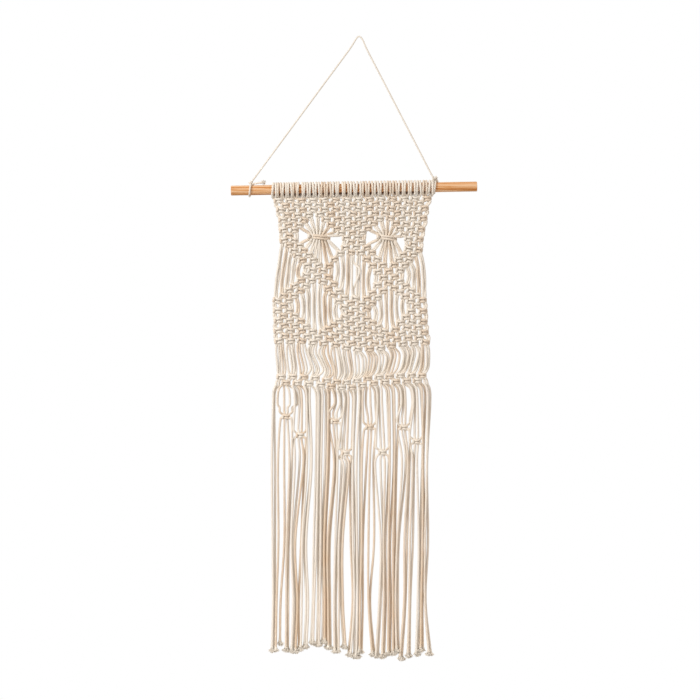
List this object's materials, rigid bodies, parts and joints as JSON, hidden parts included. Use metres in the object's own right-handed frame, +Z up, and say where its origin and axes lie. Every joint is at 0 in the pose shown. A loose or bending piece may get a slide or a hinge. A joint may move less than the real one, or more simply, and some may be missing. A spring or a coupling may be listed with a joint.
{
  "type": "macrame wall hanging on a wooden dowel",
  "caption": "Cotton cord wall hanging of square knots with open windows and a long fringe, on a round dowel with a hanging cord.",
  "frame": {"origin": "top of the hanging cord, where a nail or hook carries it", "axes": "+Z up, the front faces -Y, the wall is on the +Y side and +X is to the right as seen from the front"},
  "size_m": [0.2982, 0.0184, 0.756],
  "materials": {
    "dowel": "sanded, unvarnished",
    "hanging_cord": "thin twisted cotton",
    "macrame_cord": "three-ply twisted cotton, matt"
  },
  "bodies": {
    "root": {"dowel": "dowel", "hanger_cord": "hanging_cord", "hanger_knot_left": "hanging_cord", "hanger_knot_right": "hanging_cord", "knotted_panel": "macrame_cord", "fringe": "macrame_cord"}
  },
  "joints": []
}
